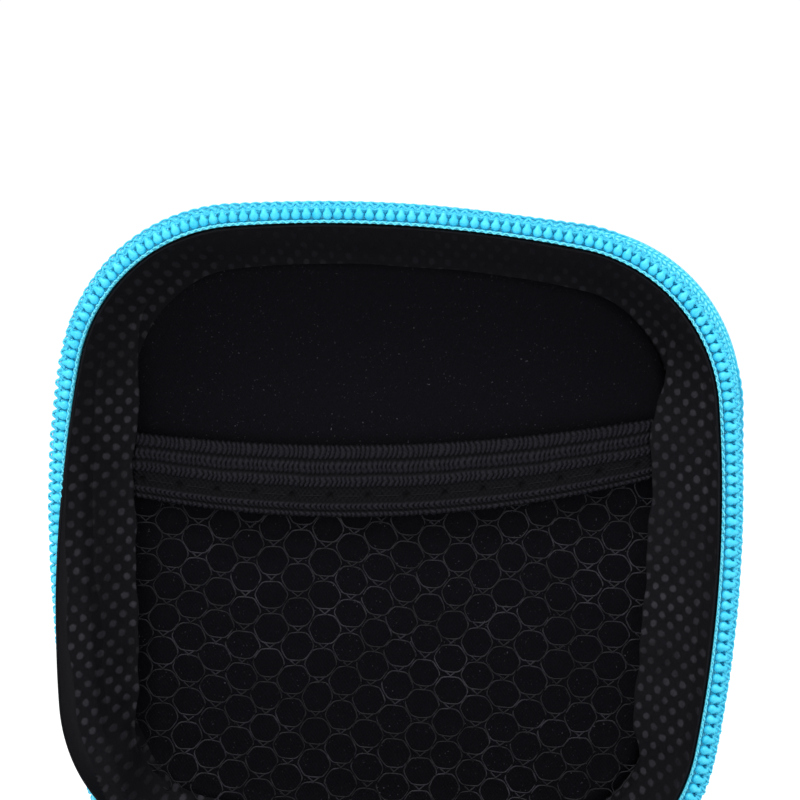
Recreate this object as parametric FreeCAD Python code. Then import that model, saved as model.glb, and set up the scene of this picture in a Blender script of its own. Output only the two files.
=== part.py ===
import FreeCAD, Part
import math
import os

# A small zippered hard case for earphones: two padded half shells, a coil zipper round three sides,
# a fabric hinge at the back, and a net pocket in the lid.  Millimetres, +Z up, +Y towards the hinge.
# The base half lies on its flat underside, whose centre is the origin; the lid stands open.

V = FreeCAD.Vector

# ---- driving dimensions ----
CASE_HALF_WIDTH = 40.0
CASE_HEIGHT = 35.0
SIDE_RADIUS = 150.0
CORNER_RADIUS = 21.5
SHELL_RIM_Z = 14.0
COVER_THICKNESS = 0.6
LINING_THICKNESS = 0.6
OUTER_DRAFT_DEG = 18.0
OUTER_EDGE_RADIUS = 5.0
WELL_DRAFT_DEG = 20.0
WELL_EDGE_RADIUS = 7.5
WELL_FLOOR_Z = 3.2
LINING_RIM_Z = 15.0
LINING_RIM_INSET = 3.1
LINING_LAP = 0.05

OPEN_ANGLE_DEG = 90.0
HINGE_Y = 40.5
HINGE_HALF_LENGTH = 12.0
STRIP_THICKNESS = 0.6
STRIP_FLAP = 5.0
SEAM_MARGIN = 1.2
INNER_STRIP_MARGIN = 0.1
FOLD_STEPS = 16

TAPE_INSET = 2.0
TAPE_THICKNESS = 0.5
TAPE_FOOT_Z = 11.0
TAPE_GAP = 0.2
TAPE_END_X = HINGE_HALF_LENGTH + 0.5
STOP_LENGTH = 1.0
COIL_OUTER_INSET = 0.2
COIL_HEIGHT = 2.35
COIL_GAP = 0.15
STITCH_Z = 12.3
STITCH_WIDTH = 0.5
STITCH_PROUD = 0.15
STITCH_DEPTH = 0.3

SLIDER_X = -17.5
SLIDER_LENGTH = 7.5
SLIDER_HALF_WIDTH = 3.3
SLIDER_PLATE = 0.9
SLIDER_CORNER_RADIUS = 1.6
SLIDER_CLEARANCE = 0.2
SLIDER_NECK_LENGTH = 2.2
SLIDER_NECK_WIDTH = 1.5
SLIDER_TRAVEL = 3.0
FRONT_CLEARANCE = 1.0
CHAIN_END_X = -12.7
CHAIN_STOP_LENGTH = 0.7
CHAIN_STOP_LAP = 0.3
CHAIN_STOP_HALF_HEIGHT = 2.6
PULL_LENGTH = 17.0
PULL_WIDTH = 5.0
PULL_THICKNESS = 1.2
PULL_BAR_RADIUS = 0.55
PULL_ARM_WIDTH = 1.1
PULL_ARM_LENGTH = 4.0
PULL_ARM_LAP = 1.0
PULL_TIP_RADIUS = 2.2
PULL_HOLE_RADIUS = 1.1
PULL_HOLE_MARGIN = 3.2
BRIDGE_WIDTH = 1.6
BRIDGE_LENGTH = 5.0
BRIDGE_HEIGHT = 2.6
BRIDGE_WALL = 0.8

BOARD_Z = 4.0
BOARD_THICKNESS = 0.5
BOARD_INSET = 9.5
FABRIC_INSET = 8.1
FABRIC_THICKNESS = 0.3
NET_Z = 6.0
NET_THICKNESS = 0.4
NET_INSET = 7.6
ELASTIC_THICKNESS = 1.1
ELASTIC_HALF_LENGTH = 32.5
ELASTIC_FRONT_Y = -13.3
ELASTIC_BACK_Y = -5.1
MOUTH_TILT_DEG = -5.4
POCKET_SHIFT_X = -0.8
LAYER_GAP = 0.05
SEWN_MARGIN = 0.1
NET_UNDER_ELASTIC = 6.5
POCKET_STITCHES = 14
POCKET_STITCH_PITCH = 4.4
POCKET_STITCH_SIZE = (1.6, 0.35, 0.2)
POCKET_STITCH_MARGIN = 2.6

# ---- values worked out from them ----
MID_Z = CASE_HEIGHT / 2
SIDE_CENTRE = SIDE_RADIUS - CASE_HALF_WIDTH
CORNER_REACH = SIDE_RADIUS - CORNER_RADIUS
CORNER_CENTRE = (math.sqrt(2 * CORNER_REACH ** 2 - SIDE_CENTRE ** 2) - SIDE_CENTRE) / 2
SIDE_HALF_ANGLE = math.asin(CORNER_CENTRE / CORNER_REACH)
COIL_TOP_Z = MID_Z - COIL_GAP
COIL_FOOT_Z = COIL_TOP_Z - COIL_HEIGHT
TAPE_TOP_Z = MID_Z - TAPE_GAP
SLIDER_FRONT_X = SLIDER_X - SLIDER_LENGTH / 2
COIL_START_X = SLIDER_FRONT_X - SLIDER_TRAVEL - FRONT_CLEARANCE
CHAIN_FRONT_X = SLIDER_FRONT_X + SLIDER_NECK_LENGTH + SLIDER_CLEARANCE
HINGE_POINT = V(0, HINGE_Y, MID_Z)
FAR = 100.0


# ---- helpers ----
def arc(centre, radius, start, end, z):
    """An arc edge about centre (x, y) at height z, from angle start to end."""
    angles = (start, (start + end) / 2, end)
    points = [V(centre[0] + radius * math.cos(a), centre[1] + radius * math.sin(a), z) for a in angles]
    return Part.Arc(*points).toShape()


def outline(inset, z):
    """The case's outline, moved in by inset: four shallow side arcs and four corner arcs."""
    edges = []
    for quarter in range(4):
        side = quarter * math.pi / 2
        corner = side + math.pi / 4
        side_centre = (-SIDE_CENTRE * math.cos(side), -SIDE_CENTRE * math.sin(side))
        reach = CORNER_CENTRE * math.sqrt(2)
        corner_centre = (reach * math.cos(corner), reach * math.sin(corner))
        corner_end = side + math.pi / 2 - SIDE_HALF_ANGLE
        edges.append(arc(side_centre, SIDE_RADIUS - inset, side - SIDE_HALF_ANGLE, side + SIDE_HALF_ANGLE, z))
        edges.append(arc(corner_centre, CORNER_RADIUS - inset, side + SIDE_HALF_ANGLE, corner_end, z))
    return Part.Wire(edges)


def plate(inset, low_z, high_z):
    """A flat plate of the outline's shape."""
    return Part.Face(outline(inset, low_z)).extrude(V(0, 0, high_z - low_z))


def band(outer_inset, inner_inset, low_z, high_z):
    """An upright strip that follows the outline."""
    return plate(outer_inset, low_z, high_z).cut(plate(inner_inset, low_z, high_z))


def cup(rim_inset, rim_z, floor_z, draft_deg, edge_radius):
    """A filled dish: drafted sides, a flat floor and a rounded edge between them."""
    floor_inset = rim_inset + (rim_z - floor_z) * math.tan(math.radians(draft_deg))
    dish = Part.makeLoft([outline(floor_inset, floor_z), outline(rim_inset, rim_z)], True, True)
    floor_edges = [e for e in dish.Edges if abs(e.BoundBox.ZMax - floor_z) < 1e-6]
    return dish.makeFillet(edge_radius, floor_edges)


def box(low, high):
    """A box between two corners."""
    return Part.makeBox(high[0] - low[0], high[1] - low[1], high[2] - low[2], V(*low))


def back_zone(low_x, high_x, low_z=-FAR, high_z=FAR):
    """A block that covers the back wall from low_x to high_x."""
    return box((low_x, 0, low_z), (high_x, FAR, high_z))


def to_lid(shape):
    """A half's shape turned over onto the closed case, then swung open about the hinge."""
    turned = shape.mirror(V(0, 0, MID_Z), V(0, 0, 1))
    return turn_about_hinge(turned, -OPEN_ANGLE_DEG)


def turn_about_hinge(shape, angle_deg):
    """A copy turned about the hinge line."""
    copy = shape.copy()
    copy.rotate(HINGE_POINT, V(1, 0, 0), angle_deg)
    return copy


def outline_y(x):
    """The back outline's y at x, within the shallow side arc."""
    return math.sqrt(SIDE_RADIUS ** 2 - x ** 2) - SIDE_CENTRE


def export(name, shape):
    """Write one node's STEP file, naming anything that is not a sound solid."""
    if not shape.isValid() or not shape.Solids:
        print("unsound solid:", name)
    shape.exportStep("parts/" + name + ".step")
    print(name, len(shape.Solids), round(shape.Volume, 2))


# ---- half shell, the same in base and lid ----
def well():
    """The space inside the lining."""
    return cup(LINING_RIM_INSET, LINING_RIM_Z, WELL_FLOOR_Z, WELL_DRAFT_DEG, WELL_EDGE_RADIUS)


def lining_outside():
    """The lining's outer face, filled."""
    inset = LINING_RIM_INSET - LINING_THICKNESS + LINING_LAP
    radius = WELL_EDGE_RADIUS + LINING_THICKNESS
    return cup(inset, LINING_RIM_Z, WELL_FLOOR_Z - LINING_THICKNESS, WELL_DRAFT_DEG, radius)


def outer_body():
    """The half's outside, filled."""
    return cup(0, SHELL_RIM_Z, 0, OUTER_DRAFT_DEG, OUTER_EDGE_RADIUS)


def foam_outside():
    """The foam's outer face, filled."""
    inset = COVER_THICKNESS / math.cos(math.radians(OUTER_DRAFT_DEG))
    radius = OUTER_EDGE_RADIUS - COVER_THICKNESS
    return cup(inset, SHELL_RIM_Z, COVER_THICKNESS, OUTER_DRAFT_DEG, radius)


def outer_cover():
    """The cloth-backed skin outside the foam."""
    return outer_body().cut(foam_outside())


def foam_shell():
    """The moulded foam, slotted round its rim for the zipper tape's foot."""
    foam = foam_outside().cut(lining_outside())
    return foam.cut(zipper_tape())


def lining():
    """The cloth lining, cut low where the zipper slider parks."""
    cloth = lining_outside().cut(well())
    return cloth.cut(back_zone(COIL_START_X, -HINGE_HALF_LENGTH, SHELL_RIM_Z))


def zipper_tape():
    """The upright tape, interrupted at the hinge and cut to the rim where the slider parks."""
    tape = band(TAPE_INSET, TAPE_INSET + TAPE_THICKNESS, TAPE_FOOT_Z, TAPE_TOP_Z)
    tape = tape.cut(back_zone(CHAIN_END_X, TAPE_END_X))
    return tape.cut(back_zone(COIL_START_X, CHAIN_END_X, SHELL_RIM_Z))


def zipper_coil():
    """One half of the coil, on the tape's outer face."""
    coil = band(COIL_OUTER_INSET, TAPE_INSET, COIL_FOOT_Z, COIL_TOP_Z)
    return coil.cut(back_zone(COIL_START_X, TAPE_END_X + STOP_LENGTH))


def zipper_stop():
    """The moulded stop that ends the coil beside the hinge, where no slider parks."""
    block = band(COIL_OUTER_INSET, TAPE_INSET, COIL_FOOT_Z, COIL_TOP_Z)
    return block.common(back_zone(TAPE_END_X, TAPE_END_X + STOP_LENGTH))


def rim_stitching():
    """The seam round the rim that holds the zipper tape, as one raised thread line."""
    slope_inset = (SHELL_RIM_Z - STITCH_Z) * math.tan(math.radians(OUTER_DRAFT_DEG))
    low, high = STITCH_Z - STITCH_WIDTH / 2, STITCH_Z + STITCH_WIDTH / 2
    line = band(slope_inset - STITCH_PROUD, slope_inset + STITCH_DEPTH, low, high)
    line = line.cut(outer_body())
    return line.cut(back_zone(-TAPE_END_X, TAPE_END_X))


# ---- net pocket, placed in the half that becomes the lid ----
def shifted(shape):
    """A pocket piece moved to where the pocket is sewn, a little off the lid's middle."""
    shape.translate(V(POCKET_SHIFT_X, 0, 0))
    return shape


def tilted(shape):
    """A piece of the pocket's mouth, turned to the slope at which it is sewn."""
    middle = (ELASTIC_FRONT_Y + ELASTIC_BACK_Y) / 2
    shape.rotate(V(0, middle, 0), V(0, 0, 1), MOUTH_TILT_DEG)
    return shape


def pocket_board():
    """The stiff card under the pocket's back panel."""
    return shifted(plate(BOARD_INSET, BOARD_Z, BOARD_Z + BOARD_THICKNESS).common(well_clearance()))


def pocket_fabric():
    """The smooth cloth over the card."""
    low = BOARD_Z + BOARD_THICKNESS + LAYER_GAP
    return shifted(plate(FABRIC_INSET, low, low + FABRIC_THICKNESS).common(well_clearance()))


def well_clearance():
    """The well less a thin margin, so that sewn-in pieces end at the lining."""
    rim = LINING_RIM_INSET + SEWN_MARGIN
    inner = cup(rim, LINING_RIM_Z, WELL_FLOOR_Z + SEWN_MARGIN, WELL_DRAFT_DEG, WELL_EDGE_RADIUS)
    inner.translate(V(-POCKET_SHIFT_X, 0, 0))
    return inner


def pocket_net():
    """The stretch net, from the elastic down to the hinge side of the lid."""
    net = plate(NET_INSET, NET_Z, NET_Z + NET_THICKNESS)
    below_elastic = tilted(box((-FAR, ELASTIC_BACK_Y - NET_UNDER_ELASTIC, 0), (FAR, FAR, FAR)))
    return shifted(net.common(below_elastic).common(well_clearance()))


def pocket_elastic():
    """The knitted elastic along the pocket's mouth."""
    low = NET_Z + NET_THICKNESS + LAYER_GAP
    strip = box((-ELASTIC_HALF_LENGTH, ELASTIC_FRONT_Y, low),
                (ELASTIC_HALF_LENGTH, ELASTIC_BACK_Y, low + ELASTIC_THICKNESS))
    return shifted(tilted(strip).common(well_clearance()))


def pocket_stitching():
    """The row of stitches that joins the net to the elastic."""
    low = NET_Z + NET_THICKNESS + LAYER_GAP + ELASTIC_THICKNESS
    length, width, height = POCKET_STITCH_SIZE
    y = ELASTIC_BACK_Y - POCKET_STITCH_MARGIN
    stitches = []
    for number in range(POCKET_STITCHES):
        x = (number - (POCKET_STITCHES - 1) / 2) * POCKET_STITCH_PITCH
        corner = (x - length / 2, y - width / 2, low)
        stitches.append(box(corner, (x + length / 2, y + width / 2, low + height)))
    return shifted(tilted(Part.makeCompound(stitches)))


# ---- fabric hinge ----
def folded(offset, along, reach):
    """A point of the hinge cloth: offset outside the hinge line, along up the closed case's back."""
    share = min(max((along + reach) / (2 * reach), 0), 1)
    angle = -math.radians(OPEN_ANGLE_DEG) * share * share * (3 - 2 * share)
    y = offset * math.cos(angle) - along * math.sin(angle)
    z = offset * math.sin(angle) + along * math.cos(angle)
    return V(0, HINGE_Y + y, MID_Z + z)


def folded_strip(inner, outer, reach, flap):
    """A cloth strip bent round the open hinge, with a sewn flap lying on each half's sloping back."""
    slope = math.tan(math.radians(OUTER_DRAFT_DEG))
    heights = [reach * (2 * step / FOLD_STEPS - 1) for step in range(FOLD_STEPS + 1)]
    if flap:
        heights = [-reach - flap] + heights + [reach + flap]
    sides = []
    for offset in (inner, outer):
        side = []
        for height in heights:
            over = max(abs(height) - reach, 0)
            side.append(folded(offset - over * slope, height, reach))
        sides.append(side)
    loop = sides[0] + sides[1][::-1]
    face = Part.Face(Part.makePolygon(loop + loop[:1]))
    strip = face.extrude(V(2 * HINGE_HALF_LENGTH, 0, 0))
    strip.translate(V(-HINGE_HALF_LENGTH, 0, 0))
    return strip


def hinge_strip_outer():
    """The outside hinge cloth."""
    back = CASE_HALF_WIDTH - HINGE_Y
    return folded_strip(back + LAYER_GAP, back + LAYER_GAP + STRIP_THICKNESS, MID_Z - SHELL_RIM_Z, STRIP_FLAP)


def hinge_strip_lining():
    """The inside hinge cloth, against the outside one."""
    outer = CASE_HALF_WIDTH - HINGE_Y
    reach = MID_Z - SHELL_RIM_Z - INNER_STRIP_MARGIN
    return folded_strip(outer - STRIP_THICKNESS, outer, reach, 0)


def hinge_seam():
    """The seam along the edge of the outside hinge cloth, on one half."""
    drop = STRIP_FLAP - SEAM_MARGIN
    z = SHELL_RIM_Z - drop
    fall = (drop - STITCH_WIDTH / 2) * math.tan(math.radians(OUTER_DRAFT_DEG))
    y = CASE_HALF_WIDTH + 2 * LAYER_GAP + STRIP_THICKNESS - fall
    half = HINGE_HALF_LENGTH - SEAM_MARGIN
    return box((-half, y, z - STITCH_WIDTH / 2), (half, y + 2 * STITCH_PROUD, z + STITCH_WIDTH / 2))


# ---- zipper slider, drawn on the closed case and swung to the half-open plane ----
def place_on_zipper(shape):
    """From slider axes (x along the zipper, y outwards, z up) to the back of the case, half open."""
    tangent_deg = math.degrees(math.asin(-SLIDER_X / SIDE_RADIUS))
    copy = shape.copy()
    copy.rotate(V(0, 0, 0), V(0, 0, 1), tangent_deg)
    copy.translate(V(SLIDER_X, outline_y(SLIDER_X), MID_Z))
    return turn_about_hinge(copy, -OPEN_ANGLE_DEG / 2)


def joined_chain():
    """The short length of closed coil behind the parked slider."""
    start = CHAIN_END_X - SLIDER_X
    end = CHAIN_FRONT_X - SLIDER_X
    return place_on_zipper(box((end, -TAPE_INSET, -COIL_HEIGHT), (start, -COIL_OUTER_INSET, COIL_HEIGHT)))


def chain_stop():
    """The crimped stop across the end of the closed coil."""
    start = CHAIN_END_X - SLIDER_X
    stop = box((start, -TAPE_INSET - CHAIN_STOP_LAP, -CHAIN_STOP_HALF_HEIGHT),
               (start + CHAIN_STOP_LENGTH, CHAIN_STOP_LAP - COIL_OUTER_INSET, CHAIN_STOP_HALF_HEIGHT))
    return place_on_zipper(stop)


def slider_plate(low_y, high_y):
    """One wing of the slider, rounded at its corners."""
    half = SLIDER_LENGTH / 2
    wing = box((-half, low_y, -SLIDER_HALF_WIDTH), (half, high_y, SLIDER_HALF_WIDTH))
    upright = [e for e in wing.Edges if e.BoundBox.YLength > high_y - low_y - 0.01]
    return wing.makeFillet(SLIDER_CORNER_RADIUS, upright)


def slider_body():
    """Two wings joined by a neck, with the coil passing between them."""
    outer_face = -COIL_OUTER_INSET + SLIDER_CLEARANCE
    inner_face = -TAPE_INSET - TAPE_THICKNESS - 2 * SLIDER_CLEARANCE
    outer = slider_plate(outer_face, outer_face + SLIDER_PLATE)
    inner = slider_plate(inner_face - SLIDER_PLATE, inner_face)
    front = -SLIDER_LENGTH / 2
    neck = box((front, inner_face, -SLIDER_NECK_WIDTH / 2),
               (front + SLIDER_NECK_LENGTH, outer_face, SLIDER_NECK_WIDTH / 2))
    body = outer.fuse([inner, neck]).removeSplitter()
    return place_on_zipper(body)


def slider_bridge():
    """The loop on the slider's outer wing that carries the pull."""
    low_y = -COIL_OUTER_INSET + SLIDER_CLEARANCE + SLIDER_PLATE
    half = BRIDGE_LENGTH / 2
    loop = box((-half, low_y, -BRIDGE_WIDTH / 2), (half, low_y + BRIDGE_HEIGHT, BRIDGE_WIDTH / 2))
    window = box((-half + BRIDGE_WALL, low_y, -FAR),
                 (half - BRIDGE_WALL, low_y + BRIDGE_HEIGHT - BRIDGE_WALL, FAR))
    return place_on_zipper(loop.cut(window))


def pull_pivot():
    """The pull's pivot in slider axes: the middle of the bridge's window."""
    low_y = -COIL_OUTER_INSET + SLIDER_CLEARANCE + SLIDER_PLATE
    return V(0, low_y + (BRIDGE_HEIGHT - BRIDGE_WALL) / 2, 0)


def pull_tab():
    """The pull, hanging straight out from the slider: a bar through the bridge and a tapering tongue."""
    pivot = pull_pivot()
    half_width = PULL_WIDTH / 2
    half_thickness = PULL_THICKNESS / 2
    arm_end = pivot.y + PULL_ARM_LENGTH
    tip = pivot.y + PULL_LENGTH
    bar = Part.makeCylinder(PULL_BAR_RADIUS, PULL_WIDTH, V(pivot.x, pivot.y, -half_width), V(0, 0, 1))
    tongue = box((-half_thickness, arm_end - PULL_ARM_LAP, -half_width), (half_thickness, tip, half_width))
    tip_edges = [e for e in tongue.Edges
                 if e.BoundBox.XLength > PULL_THICKNESS / 2 and e.BoundBox.YMin > tip - 0.01]
    tongue = tongue.makeFillet(PULL_TIP_RADIUS, tip_edges)
    hole = Part.makeCylinder(PULL_HOLE_RADIUS, FAR, V(-FAR / 2, tip - PULL_HOLE_MARGIN, 0), V(1, 0, 0))
    arms = []
    for low in (-half_width, half_width - PULL_ARM_WIDTH):
        arms.append(box((-PULL_BAR_RADIUS, pivot.y, low), (PULL_BAR_RADIUS, arm_end, low + PULL_ARM_WIDTH)))
    tab = tongue.cut(hole).fuse(arms + [bar]).removeSplitter()
    return place_on_zipper(tab)


def print_frame():
    """The points and directions that the joints use, in metres."""
    def shown(vector, scale):
        return [round(c * scale, 6) for c in (vector.x, vector.y, vector.z)]

    start = place_on_zipper(Part.Vertex(V(0, 0, 0))).Point
    along = place_on_zipper(Part.Vertex(V(-1, 0, 0))).Point - start
    upright = place_on_zipper(Part.Vertex(V(0, 0, 1))).Point - start
    pivot = place_on_zipper(Part.Vertex(pull_pivot())).Point
    print("hinge", shown(HINGE_POINT, 0.001))
    print("slide axis", shown(along, 1))
    print("pull pivot", shown(pivot, 0.001), "axis", shown(upright, 1))


def main():
    os.makedirs("parts", exist_ok=True)
    half_pieces = {
        "outer_cover": outer_cover(),
        "foam_shell": foam_shell(),
        "lining": lining(),
        "zipper_tape": zipper_tape(),
        "zipper_coil": zipper_coil(),
        "zipper_stop": zipper_stop(),
        "rim_stitching": rim_stitching(),
        "hinge_seam": hinge_seam(),
    }
    for name, shape in half_pieces.items():
        export("base_" + name, shape)
        export("lid_" + name, to_lid(shape))
    export("pocket_board", to_lid(pocket_board()))
    export("pocket_fabric", to_lid(pocket_fabric()))
    export("pocket_net", to_lid(pocket_net()))
    export("pocket_elastic", to_lid(pocket_elastic()))
    export("pocket_stitching", to_lid(pocket_stitching()))
    export("hinge_strip_outer", hinge_strip_outer())
    export("hinge_strip_lining", hinge_strip_lining())
    export("zipper_chain_end", joined_chain())
    export("zipper_chain_stop", chain_stop())
    export("slider_body", slider_body())
    export("slider_bridge", slider_bridge())
    export("pull_tab", pull_tab())
    print_frame()


main()
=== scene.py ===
from contextlib import contextmanager
from math import asin, cos, pi, radians, sin, sqrt, tan, tau

import bmesh
import bpy
import numpy as np
from mathutils import Matrix, Vector


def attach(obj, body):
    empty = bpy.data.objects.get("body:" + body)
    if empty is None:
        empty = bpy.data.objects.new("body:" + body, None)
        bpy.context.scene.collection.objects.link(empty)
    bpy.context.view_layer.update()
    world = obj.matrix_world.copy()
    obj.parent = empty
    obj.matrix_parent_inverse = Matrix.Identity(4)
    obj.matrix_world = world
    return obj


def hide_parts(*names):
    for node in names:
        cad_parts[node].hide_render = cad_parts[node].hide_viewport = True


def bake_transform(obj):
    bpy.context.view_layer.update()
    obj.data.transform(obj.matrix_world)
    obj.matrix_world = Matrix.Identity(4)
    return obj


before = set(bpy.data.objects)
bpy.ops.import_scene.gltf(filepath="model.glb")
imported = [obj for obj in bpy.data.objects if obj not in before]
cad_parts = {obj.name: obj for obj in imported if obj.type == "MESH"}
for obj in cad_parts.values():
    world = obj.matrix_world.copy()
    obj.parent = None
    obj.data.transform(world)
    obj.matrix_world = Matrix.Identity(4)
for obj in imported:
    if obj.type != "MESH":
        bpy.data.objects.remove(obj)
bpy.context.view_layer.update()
scene = bpy.context.scene

# ---- the case's own sizes, in millimetres ----
MM = 0.001
HALF_WIDTH = 40.0
SIDE_RADIUS = 150.0
CORNER_RADIUS = 21.5
MID_Z = 17.5
HINGE_Y = 40.5
RIM_Z = 14.0
SIDE_CENTRE = SIDE_RADIUS - HALF_WIDTH
CORNER_REACH = SIDE_RADIUS - CORNER_RADIUS
CORNER_CENTRE = (sqrt(2 * CORNER_REACH ** 2 - SIDE_CENTRE ** 2) - SIDE_CENTRE) / 2
SIDE_HALF_ANGLE = asin(CORNER_CENTRE / CORNER_REACH)
SIDE_HALF_LENGTH = SIDE_RADIUS * SIDE_HALF_ANGLE
CORNER_LENGTH = CORNER_RADIUS * (pi / 2 - 2 * SIDE_HALF_ANGLE)
QUARTER = 2 * SIDE_HALF_LENGTH + CORNER_LENGTH
PERIMETER = 4 * QUARTER
OUTER_DRAFT = radians(18)

HINGE_HALF_LENGTH = 12.0
CHAIN_END_X = -12.7
CHAIN_FRONT_X = -18.85
COIL_START_X = -25.3
TAPE_END_X = 12.5
COIL_END_X = 13.6
TOOTH_PITCH = 1.2

rng = np.random.default_rng(7)


# ---- placing points: half-shell millimetres to the frame's metres ----
def to_base(points):
    """Half-shell points as they lie in the base."""
    return np.asarray(points, float) * MM


def to_lid(points):
    """Half-shell points as they lie in the standing lid."""
    p = np.asarray(points, float)
    lifted = np.stack([p[..., 0], MID_Z + HINGE_Y - p[..., 2], MID_Z + HINGE_Y - p[..., 1]], -1)
    return lifted * MM


PLACES = {"base": to_base, "lid": to_lid}


def rim(s):
    """Centre line of the outline: x, y and the outward direction at distance s from the hinge's middle."""
    s = np.mod(np.asarray(s, float), PERIMETER)
    quarter = np.floor(s / QUARTER)
    r = s - quarter * QUARTER
    side = pi / 2 - quarter * pi / 2
    stretches = [r < SIDE_HALF_LENGTH, r < SIDE_HALF_LENGTH + CORNER_LENGTH]
    turn = np.select(stretches, [r / SIDE_RADIUS, SIDE_HALF_ANGLE + (r - SIDE_HALF_LENGTH) / CORNER_RADIUS],
                     pi / 2 - (QUARTER - r) / SIDE_RADIUS)
    centre_angle = side - np.select(stretches, [0.0, pi / 4], pi / 2)
    reach = np.select(stretches, [-SIDE_CENTRE, CORNER_CENTRE * sqrt(2)], -SIDE_CENTRE)
    radius = np.select(stretches, [SIDE_RADIUS, CORNER_RADIUS], SIDE_RADIUS)
    out = side - turn
    x = reach * np.cos(centre_angle) + radius * np.cos(out)
    y = reach * np.sin(centre_angle) + radius * np.sin(out)
    return x, y, np.cos(out), np.sin(out)


def smooth(t):
    """A soft ramp that goes from 0 to 1 as t does."""
    t = np.clip(t, 0, 1)
    return t * t * (3 - 2 * t)


# The standing lid's soft rim is squeezed in at the lower left, where the zipper turns back out of sight.
PINCH = 3.0
PINCH_FOOT_Z = 1.0
PINCH_RISE = 10.0
PINCH_FADE = 3.3
SQUEEZE_START = 3 * QUARTER - 26
SQUEEZE_FULL = 3 * QUARTER + 21
SQUEEZE_FADE = 3 * QUARTER + 28
SQUEEZE_END = 3 * QUARTER + 43
FLARE_Z = 15.3
FLARE_RISE = 1.4
COIL_INSET = 1.10
COIL_Z = 16.25
CURL_ANGLE = radians(65)
CURL_INWARDS = 2.05
CURL_DROP = 1.25


def squeezed(s):
    """0 away from the squeezed length of rim, 1 where it is squeezed most."""
    s = np.mod(s, PERIMETER)
    rise = smooth((s - SQUEEZE_START) / (SQUEEZE_FULL - SQUEEZE_START))
    return rise * smooth((SQUEEZE_END - s) / (SQUEEZE_END - SQUEEZE_FADE))


def pinch(s, z):
    """How far the lid's rim is squeezed inwards: nothing at the tape's edge, most below it."""
    below_edge = 1 - smooth((z - RIM_Z) / PINCH_FADE)
    return PINCH * squeezed(s) * below_edge * smooth((z - PINCH_FOOT_Z) / PINCH_RISE)


def flare(s, z, reach):
    """A shift of the lid's topmost edge, full where the zipper turns back and nothing elsewhere."""
    return reach * squeezed(s) * smooth((z - FLARE_Z) / FLARE_RISE)


def curled(s, inset, z, body):
    """The lid's coil and its threads, turned outwards and back behind the squeezed edge."""
    if body == "base":
        return inset, z
    share = squeezed(s)
    turn = CURL_ANGLE * share
    a, b = inset - COIL_INSET, z - COIL_Z
    turned_z = COIL_Z - CURL_DROP * share + a * np.sin(turn) + b * np.cos(turn)
    turned_inset = COIL_INSET + CURL_INWARDS * share + a * np.cos(turn) - b * np.sin(turn)
    return turned_inset - pinch(s, turned_z), turned_z


def rim_points(s, inset, z, body):
    """Half-shell points at distance s round the rim, moved in by inset, at height z."""
    s, inset, z = np.broadcast_arrays(np.asarray(s, float), inset, z)
    if body == "lid":
        inset = inset + pinch(s, z)
    x, y, nx, ny = rim(s)
    return np.stack([x - inset * nx, y - inset * ny, z], -1)


def at_rim(body, s, inset, z):
    """The same points placed in the frame."""
    return PLACES[body](rim_points(s, inset, z, body))


def back_distance(x):
    """The distance round the rim from the hinge's middle to the back wall's point at x."""
    guess = np.linspace(-QUARTER / 2, QUARTER / 2, 4001)
    return float(np.interp(x, rim(guess)[0], guess))


def whole_rim(count):
    """Evenly spaced distances round the whole rim, as a column."""
    return (np.arange(count) * PERIMETER / count)[:, None]


# ---- mesh helpers ----
def new_object(name, data):
    """A new object, linked to the scene."""
    piece = bpy.data.objects.new(name, data)
    scene.collection.objects.link(piece)
    return piece


def new_mesh(name, vertices, faces, uv=None):
    """A new piece with smooth faces and, if uv is given, a texture place for every vertex."""
    mesh = bpy.data.meshes.new(name)
    mesh.from_pydata([tuple(v) for v in vertices], [], [tuple(f) for f in faces])
    if uv is not None:
        layer = mesh.uv_layers.new(name="UVMap")
        loops = np.zeros(len(mesh.loops), np.int32)
        mesh.loops.foreach_get("vertex_index", loops)
        layer.data.foreach_set("uv", np.asarray(uv, float)[loops].ravel())
    mesh.validate()
    mesh.polygons.foreach_set("use_smooth", [True] * len(mesh.polygons))
    return new_object(name, mesh)


@contextmanager
def editing(mesh):
    """Opens a mesh for editing and writes the changes back."""
    bm = bmesh.new()
    bm.from_mesh(mesh)
    bm.verts.ensure_lookup_table()
    yield bm
    bm.to_mesh(mesh)
    bm.free()


def face_outwards(piece):
    """Turns every face's normal outwards on a closed mesh."""
    with editing(piece.data) as bm:
        bmesh.ops.recalc_face_normals(bm, faces=bm.faces)


def turn_skin(piece, body, inside):
    """Turns a skin's faces to its visible side; the lid is a mirrored base, so it needs the opposite turn."""
    if (body == "lid") == inside:
        piece.data.flip_normals()


def grid_faces(rows, columns, wrap_rows=False, wrap_columns=False, start=0):
    """Four-sided faces between neighbours in a grid of vertices numbered from start."""
    faces = []
    for i in range(rows if wrap_rows else rows - 1):
        for j in range(columns if wrap_columns else columns - 1):
            k, m = (i + 1) % rows, (j + 1) % columns
            corners = (i * columns + j, i * columns + m, k * columns + m, k * columns + j)
            faces.append(tuple(start + corner for corner in corners))
    return faces


def strip(name, points, uv, wrap=False, closed_section=False):
    """A mesh over a grid of points, rows by columns."""
    faces = grid_faces(*points.shape[:2], wrap, closed_section)
    return new_mesh(name, points.reshape(-1, 3), faces, np.asarray(uv).reshape(-1, 2))


def close_holes(piece, *rings):
    """Closes holes in a mesh, each given as the ring of vertices round it."""
    with editing(piece.data) as bm:
        for ring in rings:
            bm.faces.new([bm.verts[i] for i in ring])


def close_middle(piece, rows, columns, both=False):
    """Closes the hole in the middle of a dish made of wrapped rows, at one end of the rows or at both."""
    rings = [range(rows * columns - 1, 0, -columns), range(0, rows * columns, columns)]
    close_holes(piece, *rings[:1 + both])


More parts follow.
